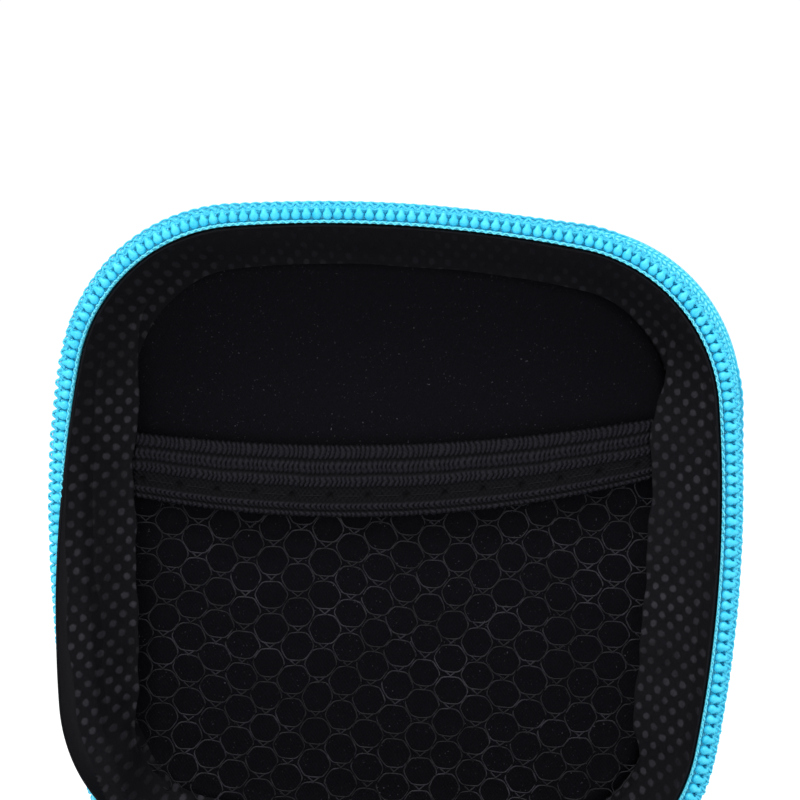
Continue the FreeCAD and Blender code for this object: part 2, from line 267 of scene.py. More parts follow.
def cap_ends(piece, rows, columns):
    """Closes the two ends of a tube-like strip."""
    close_holes(piece, range(columns), range(rows * columns - 1, (rows - 1) * columns - 1, -1))


def apply_modifiers(piece):
    """Replaces a piece's mesh by what its modifiers make of it."""
    bpy.context.view_layer.update()
    graph = bpy.context.evaluated_depsgraph_get()
    mesh = bpy.data.meshes.new_from_object(piece.evaluated_get(graph), depsgraph=graph)
    piece.modifiers.clear()
    piece.data = mesh


def make_skin(piece, body, inside, thickness):
    """Turns a skin to its visible side and gives it real thickness behind that."""
    turn_skin(piece, body, inside)
    solid = piece.modifiers.new("thickness", "SOLIDIFY")
    solid.thickness = thickness * MM
    solid.offset = -1
    apply_modifiers(piece)


def unit(vectors):
    """The same vectors at a length of 1."""
    return vectors / (np.linalg.norm(vectors, axis=-1, keepdims=True) + 1e-12)


def tubes(name, lines, radii, sides=7, closed=False, reference=None):
    """Round threads along many lines of equal point count: lines is (n, k, 3), radii (n, k) or a number."""
    lines = np.asarray(lines, float)
    count, steps = lines.shape[:2]
    if closed:
        along = unit(np.roll(lines, -1, 1) - np.roll(lines, 1, 1))
    else:
        along = unit(np.gradient(lines, axis=1))
    if reference is None:
        steep = np.abs(along[..., 2:3]) > 0.9
        reference = np.where(steep, [1.0, 0.0, 0.0], [0.0, 0.0, 1.0])
    side = unit(np.cross(along, reference))
    up = np.cross(side, along)
    radii = np.broadcast_to(np.asarray(radii, float), (count, steps))[..., None, None]
    angle = np.arange(sides) * tau / sides
    circle = side[:, :, None] * np.cos(angle)[:, None] + up[:, :, None] * np.sin(angle)[:, None]
    points = lines[:, :, None] + radii * circle
    faces = []
    per_line = steps * sides
    for start in range(0, count * per_line, per_line):
        faces += grid_faces(steps, sides, closed, True, start)
        if not closed:
            last = start + per_line - sides
            faces.append(tuple(start + i for i in range(sides)))
            faces.append(tuple(last + i for i in reversed(range(sides))))
    piece = new_mesh(name, points.reshape(-1, 3), faces)
    face_outwards(piece)
    return piece


# ---- material helpers ----
def arithmetic(operation, swapped=False):
    """A method that adds a math node for a value and, where the operation takes two, another value."""
    def method(self, other=None):
        pair = (other, self) if swapped else (self, other)
        return self.nodes.math(operation, *pair)
    return method


class Value:
    """A node's output; arithmetic on it adds math nodes."""

    __add__ = arithmetic("ADD")
    __sub__ = arithmetic("SUBTRACT")
    __rsub__ = arithmetic("SUBTRACT", swapped=True)
    __mul__ = arithmetic("MULTIPLY")
    __truediv__ = arithmetic("DIVIDE")
    __pow__ = arithmetic("POWER")
    floor = arithmetic("FLOOR")
    fraction = arithmetic("FRACT")
    sine = arithmetic("SINE")
    root = arithmetic("SQRT")

    def __init__(self, nodes, node, output=0):
        self.nodes = nodes
        self.socket = node.outputs[output]


class Nodes:
    """Short names for building a material's node tree."""

    def __init__(self, name):
        self.material = bpy.data.materials.new(name)
        self.material.use_nodes = True
        self.tree = self.material.node_tree
        self.shader = self.tree.nodes["Principled BSDF"]

    def add(self, kind, sockets, **settings):
        node = self.tree.nodes.new(kind)
        for key, value in settings.items():
            setattr(node, key, value)
        self.fill(node, sockets)
        return node

    def fill(self, node, sockets):
        """Gives input sockets a number, a colour or another node's output."""
        for key, value in sockets.items():
            if isinstance(value, Value):
                self.tree.links.new(value.socket, node.inputs[key])
            elif value is not None:
                node.inputs[key].default_value = (*value, 1) if isinstance(value, tuple) else value

    def math(self, operation, a, b=None):
        return Value(self, self.add("ShaderNodeMath", {0: a, 1: b}, operation=operation))

    def coordinates(self, kind="Object"):
        return Value(self, self.add("ShaderNodeTexCoord", {}), kind)

    def uv(self):
        split = self.add("ShaderNodeSeparateXYZ", {0: self.coordinates("UV")})
        return Value(self, split, 0), Value(self, split, 1)

    def noise(self, scale, detail=4.0, roughness=0.6):
        sockets = {"Vector": self.coordinates(), "Scale": scale, "Detail": detail, "Roughness": roughness}
        return Value(self, self.add("ShaderNodeTexNoise", sockets), "Fac")

    def cells(self, scale, feature="F1"):
        sockets = {"Vector": self.coordinates(), "Scale": scale}
        return Value(self, self.add("ShaderNodeTexVoronoi", sockets, feature=feature), "Distance")

    def ramp(self, value, *stops):
        node = self.add("ShaderNodeValToRGB", {0: value})
        elements = node.color_ramp.elements
        while len(elements) < len(stops):
            elements.new(0.5)
        for element, (place, colour) in zip(elements, stops):
            element.position = place
            element.color = (*colour, 1)
        return Value(self, node)

    def mix(self, share, a, b):
        return Value(self, self.add("ShaderNodeMix", {0: share, 6: a, 7: b}, data_type="RGBA"), 2)

    def span(self, value, low, high, to_low=0.0, to_high=1.0):
        """A soft step from to_low to_high while the value goes from low to high."""
        sockets = {0: value, 1: low, 2: high, 3: to_low, 4: to_high}
        return Value(self, self.add("ShaderNodeMapRange", sockets, interpolation_type="SMOOTHSTEP"))

    def bump(self, height, distance, strength=1.0, normal=None):
        sockets = {"Strength": strength, "Distance": distance, "Height": height, "Normal": normal}
        return Value(self, self.add("ShaderNodeBump", sockets))

    def finish(self, colour, roughness, normal=None, **others):
        self.fill(self.shader, {"Base Color": colour, "Roughness": roughness, "Normal": normal})
        self.fill(self.shader, {name.replace("_", " "): value for name, value in others.items()})
        return self.material


CYAN = (0.030, 0.545, 0.80)
CYAN_DARK = (0.006, 0.27, 0.46)
CYAN_LIGHT = (0.10, 0.74, 0.96)


def coil_plastic():
    """Cyan nylon: slightly clouded, glossy enough for a small highlight on every tooth."""
    n = Nodes("coil_nylon")
    colour = n.ramp(n.noise(900, 3), (0.3, CYAN), (0.75, CYAN_LIGHT))
    grain = n.noise(6000, 2)
    return n.finish(colour, n.span(grain, 0.3, 0.7, 0.27, 0.42), n.bump(grain, 0.00003),
                    Specular_IOR_Level=0.35)


def woven_tape():
    """Cyan tape: slanted stitches that change direction from row to row, with painted shade in their hollows
    and lighter tops.
    """
    n = Nodes("zipper_tape_weave")
    u, v = n.uv()
    row_height = 0.34
    stitch = 0.66
    slant = 0.55
    rows = v / row_height
    across = rows.fraction() - 0.5
    direction = (rows.floor() * 0.5).fraction() * 4.0 - 1.0
    along = (u / stitch + across * direction * slant).fraction() - 0.5
    hill_u = 1.0 - along * along * 4.0
    hill_v = 1.0 - across * across * 4.0
    height = hill_u ** 0.6 * hill_v ** 0.6
    fibres = n.noise(5000, 4)
    # Painted shade: the stitches' hollows are painted darker and their tops lighter, on top of the bump.
    shade = height * 0.75 + fibres * 0.35
    colour = n.ramp(shade, (0.05, CYAN_DARK), (0.40, CYAN), (0.72, CYAN_LIGHT), (1.0, (0.30, 0.88, 1.0)))
    normal = n.bump(fibres, 0.00003, 0.6, n.bump(height, 0.00012, 0.9))
    return n.finish(colour, 0.72, normal, Specular_IOR_Level=0.25)


def dotted_lining():
    """Black non-woven cloth with staggered rows of pressed dots, lighter and smoother than the cloth; the
    dots are painted dimmer towards the front wall as painted shade.
    """
    n = Nodes("dotted_lining")
    u, v = n.uv()
    column = 0.97
    pitch = 2.15
    half_u = 0.38
    half_v = 0.44
    columns = (u + (n.noise(260, 2) - 0.5) * 0.5) / column
    stagger = (columns.floor() * 0.5).fraction()
    rows = v / pitch + stagger
    near_u = (columns.fraction() - 0.5) * column / half_u
    near_v = (rows.fraction() - 0.5) * pitch / half_v
    distance = (near_u * near_u + near_v * near_v).root()
    ragged = distance + (n.noise(1500, 3) - 0.5) * 0.9
    dot = n.span(ragged, 0.55, 1.25, 1.0, 0.0)
    fibres = n.noise(3200, 5, 0.7)
    dark = n.ramp(fibres, (0.25, (0.0018, 0.0017, 0.0026)), (0.8, (0.0072, 0.0067, 0.0095)))
    light = n.ramp(fibres, (0.2, (0.017, 0.0166, 0.021)), (0.85, (0.040, 0.039, 0.047)))
    patches = n.span(n.noise(120, 2), 0.35, 0.62, 0.30, 1.0)
    # Painted shade: the dots fade towards the front wall (y below -22), which in the standing lid is the top
    # wall, facing down and so in shade.
    painted_shade_front_fade = n.span(v, -36.0, -22.0, 0.25, 1.0)
    colour = n.mix(dot * (patches * painted_shade_front_fade), dark, light)
    normal = n.bump(dot, 0.00008, 0.6, n.bump(fibres, 0.00006, 0.8))
    return n.finish(colour, n.span(dot, 0, 1, 0.86, 0.62), normal, Specular_IOR_Level=0.12)


def panel_cloth():
    """Smooth black knit with a faint cross rib and a few bright fibre specks."""
    n = Nodes("panel_cloth")
    u, v = n.uv()
    rib = 0.55
    stitch = 0.42
    knit = (v * (tau / rib)).sine() * (u * (tau / stitch)).sine()
    fibres = n.noise(4200, 5, 0.7)
    speck = n.span(n.noise(5200, 1, 0.4), 0.735, 0.80)
    cloth = n.ramp(fibres, (0.2, (0.0022, 0.0021, 0.0032)), (0.85, (0.0060, 0.0056, 0.0082)))
    normal = n.bump(fibres, 0.00005, 0.7, n.bump(knit, 0.00003, 0.5))
    return n.finish(n.mix(speck, cloth, (0.07, 0.068, 0.08)), 0.85, normal, Specular_IOR_Level=0.05)


def thread_material(name, dark, light, shine=0.12):
    """Thread with a fine grain."""
    n = Nodes(name)
    grain = n.noise(5200, 4, 0.7)
    colour = n.ramp(grain, (0.25, dark), (0.8, light))
    return n.finish(colour, n.span(grain, 0.2, 0.8, 0.75, 0.55), n.bump(grain, 0.00004, 0.8),
                    Specular_IOR_Level=shine)


def net_yarn():
    """Thin black monofilament that catches the light unevenly."""
    n = Nodes("net_yarn")
    grain = n.noise(4200, 3)
    tone = n.noise(170, 3, 0.6) * 0.8 + grain * 0.3
    colour = n.ramp(tone, (0.35, (0.0030, 0.0029, 0.0044)), (0.55, (0.0095, 0.0090, 0.0125)),
                    (0.75, (0.034, 0.0325, 0.040)))
    return n.finish(colour, 0.6, n.bump(grain, 0.00003), Specular_IOR_Level=0.2)


def knit_yarn():
    """Black yarn; the mesh's second texture coordinate is the relief's height, and the colour follows it:
    painted shade in the hollows, lighter raised stitches.
    """
    n = Nodes("elastic_yarn")
    height = n.uv()[1]
    grain = n.noise(5200, 4, 0.7)
    # Painted shade: the colour darkens with the relief's height, so hollows and needle holes are painted dark
    # and raised stitches painted light.
    tone = height * 1.5 + (grain - 0.5) * 0.7
    colour = n.ramp(tone, (0.20, (0.0015, 0.0014, 0.0022)), (0.55, (0.0052, 0.0049, 0.0070)),
                    (1.0, (0.0155, 0.0148, 0.0195)))
    return n.finish(colour, 0.75, n.bump(grain, 0.00004, 0.8), Specular_IOR_Level=0.1)


def cover_skin():
    """Cyan coated cloth with a fine leather-like grain."""
    n = Nodes("cover_skin")
    fine = n.noise(2500, 3)
    tone = n.noise(55, 3) * 0.6 + fine * 0.4
    colour = n.ramp(tone, (0.3, (0.016, 0.40, 0.63)), (0.7, (0.030, 0.50, 0.74)))
    normal = n.bump(fine, 0.00002, 0.5, n.bump(n.cells(1500, "SMOOTH_F1"), 0.00009, 0.8))
    return n.finish(colour, n.span(tone, 0.3, 0.7, 0.42, 0.55), normal, Coat_Weight=0.06, Coat_Roughness=0.4)


def foam():
    """Dark closed-cell foam."""
    n = Nodes("foam_cells")
    cells = n.cells(3200)
    colour = n.ramp(cells, (0.1, (0.012, 0.012, 0.013)), (0.7, (0.035, 0.035, 0.038)))
    return n.finish(colour, 0.9, n.bump(cells, 0.00008))


def slider_paint():
    """Cyan enamel over die-cast metal, with a few small chips."""
    n = Nodes("slider_paint")
    orange_peel = n.noise(1600, 3)
    chips = n.span(n.noise(700, 5, 0.75), 0.74, 0.78)
    enamel = n.ramp(orange_peel, (0.3, (0.016, 0.40, 0.62)), (0.7, (0.03, 0.52, 0.77)))
    return n.finish(n.mix(chips, enamel, (0.32, 0.33, 0.34)), n.span(orange_peel, 0.3, 0.7, 0.22, 0.34),
                    n.bump(orange_peel, 0.00002), Coat_Weight=0.3, Coat_Roughness=0.15)


def plain_stage():
    """A pale, even floor."""
    n = Nodes("stage_floor")
    return n.finish(n.ramp(n.noise(1.5, 2), (0.0, (0.93, 0.93, 0.93)), (1.0, (0.95, 0.95, 0.95))), 0.9)


M = {
    "coil": coil_plastic(),
    "tape": woven_tape(),
    "lining": dotted_lining(),
    "hem": thread_material("lining_hem", (0.0026, 0.0025, 0.0035), (0.0085, 0.0080, 0.0110), 0.1),
    "panel": panel_cloth(),
    "cover": cover_skin(),
    "foam": foam(),
    "slider": slider_paint(),
    "black_thread": thread_material("black_thread", (0.0025, 0.0024, 0.0032), (0.0085, 0.0080, 0.0105)),
    "net_thread": net_yarn(),
    "pale_thread": thread_material("pale_thread", (0.05, 0.60, 0.82), (0.22, 0.86, 1.0), 0.4),
    "tie_thread": thread_material("tie_thread", (0.012, 0.42, 0.66), (0.13, 0.78, 0.98), 0.3),
    "elastic": knit_yarn(),
    "cyan_thread": thread_material("cyan_thread", CYAN_DARK, CYAN_LIGHT, 0.4),
}


def paint(piece, key):
    """Gives a piece one material."""
    piece.data.materials.clear()
    piece.data.materials.append(M[key])
    return piece


def place(piece, body, slot, replaced=()):
    """Ties a piece to its body and hides the CAD nodes it replaces; the slot argument is not used."""
    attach(piece, body)
    if replaced:
        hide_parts(*replaced)
    return piece


# ---- cover, foam and lining ----
COVER_THICKNESS = 0.55
LINING_RIM_INSET = 3.1
LINING_RIM_Z = 15.0
LINING_THICKNESS = 0.35
HEM_TOP_Z = 16.75
HEM_INSET = 2.86
HEM_RADIUS = 0.17
HEM_FLARE = 0.5
WELL_DRAFT = radians(20)
WELL_RADIUS = 7.5
FLOOR_Z = 3.2
FOAM_TOP_Z = RIM_Z - 0.1
BACK_Y = 30
ZONE_RAMP = 1.5
def dish_profile(rim_inset, rim_z, floor_z, draft, radius):
    """A dish's side from its rim to its flat floor: inset and height."""
    knee_z = floor_z + radius * (1 - sin(draft))
    knee_inset = rim_inset + (rim_z - knee_z) * tan(draft)
    centre_inset = knee_inset + radius * cos(draft)
    straight = np.linspace(0, 1, 22)
    turn = np.linspace(draft, pi / 2, 18)[1:]
    inset = [rim_inset + (knee_inset - rim_inset) * straight, centre_inset - radius * np.cos(turn)]
    height = [rim_z + (knee_z - rim_z) * straight, floor_z + radius * (1 - np.sin(turn))]
    return np.concatenate(inset), np.concatenate(height)


def with_floor(edge, rings):
    """Adds to a dish's side the rings of its floor, which shrink towards the middle."""
    shares = 1 - np.arange(1, rings + 1) / (rings + 0.3)
    floor = edge[:, -1:] * np.stack([shares, shares, np.ones(rings)], -1)
    return np.concatenate([edge, floor], 1)


def dish(name, body, grid, both=False):
    """A piece over wrapped rows of half-shell points, closed in the middle, its texture laid out in plan."""
    piece = strip(name, PLACES[body](grid), grid[..., :2], wrap=True)
    close_middle(piece, *grid.shape[:2], both)
    return piece


def lining(body):
    """Rolled hem, wall and floor in one skin."""
    inset, height = dish_profile(LINING_RIM_INSET, LINING_RIM_Z, FLOOR_Z, WELL_DRAFT, WELL_RADIUS)
    roll = np.linspace(-0.9 * pi / 2, pi / 2, 7)
    hem_inset = HEM_INSET - HEM_RADIUS * (1 - np.sin(roll))
    hem_height = HEM_TOP_Z - HEM_RADIUS * (1 - np.cos(roll))
    inset = np.concatenate([[HEM_INSET - 2 * HEM_RADIUS], hem_inset, inset])
    height = np.concatenate([[LINING_RIM_Z - 0.6], hem_height, height])
    s = whole_rim(420)
    drop = HEM_TOP_Z - RIM_Z
    lowered = HEM_TOP_Z + 0.02 - drop * back_zone(s, HINGE_HALF_LENGTH + ZONE_RAMP)
    parked = HEM_TOP_Z - (drop + 0.5) * back_zone(s, CHAIN_END_X)
    rise = np.minimum(np.minimum(height, lowered), parked)
    spread = flare(s, rise, HEM_FLARE) if body == "lid" else 0
    crease = wall_crease(s, np.linspace(0, 1, len(inset)))
    grid = with_floor(rim_points(s, inset + crease - spread, rise, body), 8)
    piece = paint(dish(body + "_lining_cloth", body, grid), "lining")
    piece.data.materials.append(M["hem"])
    rows, columns = grid.shape[0], grid.shape[1] - 1
    for face in piece.data.polygons:
        if face.index % columns < len(roll) and face.index < rows * columns:
            face.material_index = 1
    make_skin(piece, body, True, LINING_THICKNESS)
    return place(piece, body, "lining", [body + "_lining"])


def back_zone(s, end_x):
    """1 along the back wall from where the slider parks to end_x, 0 elsewhere, with short ramps."""
    x, y = rim(s)[:2]
    near = smooth((x - COIL_START_X + ZONE_RAMP) / ZONE_RAMP) * smooth((end_x - x) / ZONE_RAMP)
    return np.where(y > BACK_Y, near, 0)


def wall_crease(s, depth):
    """A fine ripple in the wall's cloth, none at the hem or on the floor."""
    ripple = 0.07 * np.sin(s / 3.1 + 2.0 * depth) + 0.05 * np.sin(s / 1.73 + 4.0 * depth + 1.0)
    return ripple * np.sin(pi * depth)


def outer_cover(body):
    """The moulded skin, with the softly rolled edge where the zipper tape is sewn on."""
    inset, height = dish_profile(0, RIM_Z - 0.15, 0, OUTER_DRAFT, radius=5.0)
    inset = np.concatenate([[0.60, 0.30, 0.10], inset])
    height = np.concatenate([[RIM_Z - 0.05, RIM_Z, RIM_Z - 0.04], height])
    grid = with_floor(rim_points(whole_rim(360), inset, height, body), 10)
    piece = dish(body + "_cover_skin", body, grid)
    make_skin(piece, body, False, COVER_THICKNESS)
    return place(paint(piece, "cover"), body, "cover", [body + "_outer_cover"])


def foam_shell(body):
    """The foam between cover and lining."""
    gap = COVER_THICKNESS + 0.1
    outside = dish_profile(gap + 0.03, FOAM_TOP_Z, gap - 0.03, OUTER_DRAFT, radius=4.4)
    inside = dish_profile(LINING_RIM_INSET - 0.4, LINING_RIM_Z, FLOOR_Z - 0.42, WELL_DRAFT, radius=7.9)
    sides = []
    for inset, height in (outside, inside):
        height = np.minimum(height, FOAM_TOP_Z)
        sides.append(with_floor(rim_points(whole_rim(240), inset, height, body), 5))
    grid = np.concatenate([sides[0][:, ::-1], sides[1]], 1)
    piece = dish(body + "_foam", body, grid, both=True)
    face_outwards(piece)
    place(paint(piece, "foam"), body, "foam", [body + "_foam_shell"])
    return piece


# ---- zipper ----
TAPE_INSET = 2.0
TAPE_THICKNESS = 0.36
TAPE_TOP_Z = 17.15
RIGHT_BULGE = 0.8
LEFT_BULGE = 0.3
TAPE_TUCK = 0.25
TAPE_DROP = 1.35
TAPE_FIRST = back_distance(TAPE_END_X)
TAPE_LAST = PERIMETER + back_distance(COIL_START_X)
COIL_FIRST = back_distance(COIL_END_X)
COIL_PHASE = {"base": 0.0, "lid": 0.5}
COIL_REACH = 0.52
COIL_RISE = 0.58
HEAD_RADIUS = 0.56
HEAD_TURN = radians(42)
LEG_RADIUS = 0.30
LEG_SWELL = 0.10
LEG_TURN = radians(75)
TURN_STEPS = 24
SEAM_Z = 12.3
def tape_bulge(s):
    """How far the tape stands off the cover at the two corners away from the hinge, most on the right."""
    width = 0.34 * QUARTER
    right = smooth(1 - np.abs(s - 1.5 * QUARTER) / width)
    left = smooth(1 - np.abs(s - 2.5 * QUARTER) / width)
    return RIGHT_BULGE * right + LEFT_BULGE * left


def cover_inset(z):
    """The inset of the cover's outer face at height z."""
    return (RIM_Z - z) * tan(OUTER_DRAFT)


def tape_section(bulge):
    """The tape's cross-section as (inset, height): up its inner face, over its edge, down its skirt."""
    inner = [(TAPE_INSET + TAPE_THICKNESS, z) for z in (14.2, 15.2, 16.2, TAPE_TOP_Z - 0.15)]
    edge = [(TAPE_INSET + share * TAPE_THICKNESS, TAPE_TOP_Z) for share in (0.75, 0.25)]
    outer = [(TAPE_INSET, TAPE_TOP_Z - 0.15), (TAPE_INSET, 16.2), (TAPE_INSET - 0.1, 15.3),
             (TAPE_INSET - 0.7 - 0.7 * bulge, 14.95), (TAPE_INSET - 1.3 - 1.2 * bulge, 14.7)]
    skirt = [(0.35 - 1.35 * bulge, 14.3), (0.12 - 1.15 * bulge, 13.75), (0.1 - 0.8 * bulge, 13.3),
             (cover_inset(12.8) - 0.24 - 0.35 * bulge, 12.8), (cover_inset(12.3) - 0.2, 12.3),
             (cover_inset(11.8) - 0.2, 11.8), (cover_inset(11.5) - 0.14, 11.5),
             (cover_inset(11.45) + 0.02, 11.42)]
    return inner + edge + outer + skirt


def tucked(body, s, inset, height):
    """The tape's edge where the lid's rim is squeezed: drawn in and down."""
    if body == "base":
        return inset, height
    return inset + flare(s, height, TAPE_TUCK), height - flare(s, height, TAPE_DROP)


def zipper_tape(body):
    """The woven tape, from the hinge round to where the slider parks."""
    s = np.linspace(TAPE_FIRST, TAPE_LAST, 520)[:, None]
    sections = np.array([tape_section(bulge) for bulge in tape_bulge(s[:, 0])])
    inset, height = tucked(body, s, sections[..., 0], sections[..., 1])
    steps = np.hypot(*np.diff(sections[0], axis=0).T)
    across = np.concatenate([[0], np.cumsum(steps)])
    uv = np.stack(np.broadcast_arrays(s, across[None]), -1)
    piece = strip(body + "_tape", at_rim(body, s, inset, height), uv)
    refine = piece.modifiers.new("round", "SUBSURF")
    refine.levels = refine.render_levels = 1
    apply_modifiers(piece)
    turn_skin(piece, body, inside=False)
    return place(paint(piece, "tape"), body, "tape", [body + "_zipper_tape"])


def coil_line(first, last, phase):
    """The filament's path and radius: a round head near the tape's edge, a leg across, then back."""
    turns = int((last - first) / TOOTH_PITCH)
    theta = np.arange(turns * TURN_STEPS + 1) * tau / TURN_STEPS
    quarters = theta / tau + 0.25
    turn = np.floor(quarters)
    s = first + TOOTH_PITCH * (turn + phase + smooth((quarters - turn - 0.5) / 0.5))
    inset = COIL_INSET - COIL_REACH * np.sin(theta)
    height = COIL_Z + COIL_RISE * np.cos(theta)
    from_head = 0.55 * np.angle(np.exp(1j * (theta + HEAD_TURN)))
    head = np.sqrt(np.maximum(HEAD_RADIUS ** 2 - from_head ** 2, LEG_RADIUS ** 2))
    swell = LEG_SWELL * np.maximum(np.cos(theta - LEG_TURN), 0) ** 4
    return s, inset, height, head + swell


def zipper_coil(body):
    """The coil sewn to the tape's outer face."""
    s, inset, height, radius = coil_line(COIL_FIRST, TAPE_LAST, COIL_PHASE[body])
    inset, height = curled(s, inset, height, body)
    line = at_rim(body, s, inset, height)
    ahead = at_rim(body, s + 0.1, inset, height) - line
    piece = tubes(body + "_coil", line[None], radius * MM, sides=10, reference=ahead[None])
    return place(paint(piece, "coil"), body, "coil", [body + "_zipper_coil"])


def tooth_gap(body):
    """The distance round the rim to the first gap between two teeth that is tied down."""
    return COIL_FIRST + TOOTH_PITCH * (COIL_PHASE[body] + 1.5)


def coil_threads(body):
    """The threads that tie the coil down: arches out over each tooth's leg and a row along the legs."""
    first = tooth_gap(body)
    teeth = int((TAPE_LAST - first) / TOOTH_PITCH) - 1
    q = np.arange(teeth * 12 + 1) / 12
    s = first + TOOTH_PITCH * q
    arch = np.abs(np.sin(pi * q))
    uneven = 0.03 * np.sin(s * 0.83) + 0.02 * np.sin(s * 2.9)
    arches = (1.02 - 0.92 * arch ** 0.8 + uneven, 16.50 + 0.42 * arch ** 0.7 - 0.26 * arch ** 6)
    row = (0.66 + 0.09 * np.cos(tau * q) - uneven, 16.72 + 0.18 * arch ** 2)
    for name, path, radius in (("_coil_arches", arches, 0.15), ("_coil_row", row, 0.12)):
        line = at_rim(body, s, *curled(s, *path, body))
        piece = tubes(body + name, line[None], radius * MM)
        place(paint(piece, "tie_thread"), body, "tape")


def edge_scallops(body):
    """Small loops of thread along the outside edge, one to a tooth."""
    first = tooth_gap(body)
    s = np.arange(first, TAPE_LAST - 1, TOOTH_PITCH / 10)
    swing = np.abs(np.sin(pi * (s - first) / TOOTH_PITCH))
    inset = 0.20 - 0.15 * swing - 1.2 * np.minimum(tape_bulge(s), LEFT_BULGE)
    piece = tubes(body + "_edge_scallops", at_rim(body, s, inset, 14.25)[None], 0.13 * MM)
    return place(paint(piece, "tie_thread"), body, "tape")


def tape_edge_thread(body):
    """The stitched edge along the tape's top: a fine thread that zigzags across it."""
    pitch = 0.95
    margin = 0.3
    s = np.arange(TAPE_FIRST + margin, TAPE_LAST - margin, pitch / 8)
    swing = np.sin(tau * (s - s[0]) / pitch)
    inset = TAPE_INSET + TAPE_THICKNESS / 2 + 0.11 * swing
    height = TAPE_TOP_Z + 0.05 * (1 + np.abs(swing))
    line = at_rim(body, s, *tucked(body, s, inset, height))
    piece = tubes(body + "_tape_edge_thread", line[None], 0.10 * MM, sides=6)
    return place(paint(piece, "pale_thread"), body, "tape")


def rim_stitches(body):
    """Separate thread stitches through the tape's skirt."""
    pitch = 2.3
    length = 1.55
    starts = np.arange(TAPE_FIRST + 1, TAPE_LAST - 1, pitch)
    along = np.linspace(0, 1, 7)
    sink = 0.28 * np.abs(2 * along - 1) ** 4
    lines = at_rim(body, starts[:, None] + along * length, cover_inset(SEAM_Z) - 0.27 + sink, SEAM_Z)
    piece = tubes(body + "_rim_stitches", lines, 0.17 * MM)
    return place(paint(piece, "cyan_thread"), body, "thread", [body + "_rim_stitching"])


# ---- net pocket ----
POCKET_SHIFT_X = -0.8
PANEL_INSET = 7.2
PANEL_Z = 4.85
FOLD_START_Z = 12.6
FOLD_LIP_Z = 8.05
NET_Z = 6.2
NET_INSET = 7.0
MOUTH_MIDDLE_X = -1.2
MOUTH_HALF_LENGTH = 30.4
ELASTIC_LEFT_X = -32.9
ELASTIC_RIGHT_X = 31.2
KNIT_PITCH = 0.6
HOLE_PITCH = 4.4
HOLE_START_X = ELASTIC_LEFT_X + 3.3
HOLE_SHARE = 0.705
def mouth_line(x, share):
    """The elastic's y at x: share 0 is its free edge, 1 the edge that holds the net."""
    t = (x - MOUTH_MIDDLE_X) / MOUTH_HALF_LENGTH
    free = -14.25 - 2.85 * t + 2.3 * (1 - t * t)
    sewn = -7.0 - 3.05 * t + 3.5 * (1 - t * t)
    return free + (sewn - free) * share


def panel():
    """The pocket's smooth back cloth, lightly rippled between its sewn edges."""
    x, y, nx, ny = rim(whole_rim(240))
    shares = 1 - np.linspace(0, 0.985, 26)
    px, py = (x - PANEL_INSET * nx) * shares, (y - PANEL_INSET * ny) * shares
    wave = tau * py
    ripple = 0.05 * np.sin(wave / 4.3 + 0.06 * px) + 0.04 * np.sin(wave / 2.7 + 0.11 * px)
    inner = smooth((1 - shares) / 0.12)
    z = PANEL_Z + ripple * inner * smooth(shares / 0.12) + 0.45 * (1 - inner)
    points = np.stack([px + POCKET_SHIFT_X, py, z], -1)
    piece = strip("pocket_panel_cloth", to_lid(points), np.stack([px, py], -1), wrap=True)
    close_middle(piece, *px.shape)
    make_skin(piece, "lid", True, 0.28)
    return place(paint(piece, "panel"), "lid", "panel_cloth", ["pocket_fabric"])


def side_fold(name, middle, reach, width):
    """The lining's folded edge over one side of the pocket, crumpled a little where it is sewn down."""
    s = np.linspace(middle - reach, middle + reach, 200)[:, None]
    swell = smooth((reach - np.abs(s - middle)) / 23.0)
    crumple = 0.13 * np.sin(s / 1.9 + 1.0) + 0.07 * np.sin(s / 0.83) + 0.16 * np.sin(s / 3.7 + 2.0)
    start_inset = LINING_RIM_INSET + (LINING_RIM_Z - FOLD_START_Z) * tan(WELL_DRAFT)
    lip_z = FOLD_LIP_Z + 0.25 * crumple
    wall = (FOLD_START_Z - lip_z) * tan(WELL_DRAFT)
    lip = wall + (width + crumple - wall) * swell
    share = np.array([0.0, 0.12, 0.25, 0.4, 0.55, 0.7, 0.85, 0.95, 1.0])
    drop = np.array([0.0, 0.20, 0.38, 0.57, 0.73, 0.86, 0.96, 0.99, 1.0])
    pucker = 0.10 * np.sin(s / 0.95 + 5 * share) * np.sin(pi * share)
    inset = start_inset - 0.1 + share * lip
    z = FOLD_START_Z + drop * (lip_z - FOLD_START_Z) + pucker
    under_inset = inset[:, -1:] + np.array([0.08, 0.0, -0.5, -1.6])
    under_z = z[:, -1:] - np.array([0.18, 0.36, 0.42, 0.45])
    inset = np.concatenate([inset, np.maximum(under_inset, start_inset)], 1)
    points = rim_points(s, inset, np.concatenate([z, under_z], 1), "lid")
    piece = strip(name, to_lid(points), points[..., :2])
    make_skin(piece, "lid", True, 0.12)
    return place(paint(piece, "lining"), "lid", "lining")


def elastic_height(u, v):
    """Relief of the knitted elastic, 0 to 1: rows of small V stitches, a plain band and two ribs."""
    rows = [(0.0, 0.20), (0.225, 0.40), (0.425, 0.59), (0.80, 0.90), (0.92, 1.0)]
    threads = np.sin(v * 75)
    height = 0.20 + 0.11 * np.sin(u * tau / KNIT_PITCH + 2 * threads) * np.abs(threads)
    for number, (low, high) in enumerate(rows):
        t = np.clip(np.abs(v - (low + high) / 2) / ((high - low) / 2), 0, 1.2)
        hill = np.clip(1 - t ** 3, 0, 1)
        lean = 0.40 * (1 - np.minimum(t, 1)) * (1 if number % 2 else -1)
        stitch = 0.5 + 0.5 * np.cos(tau * (u / KNIT_PITCH + lean + 0.25 * number))
        height = height + hill * (0.12 + 0.62 * stitch ** 0.7)
    return height


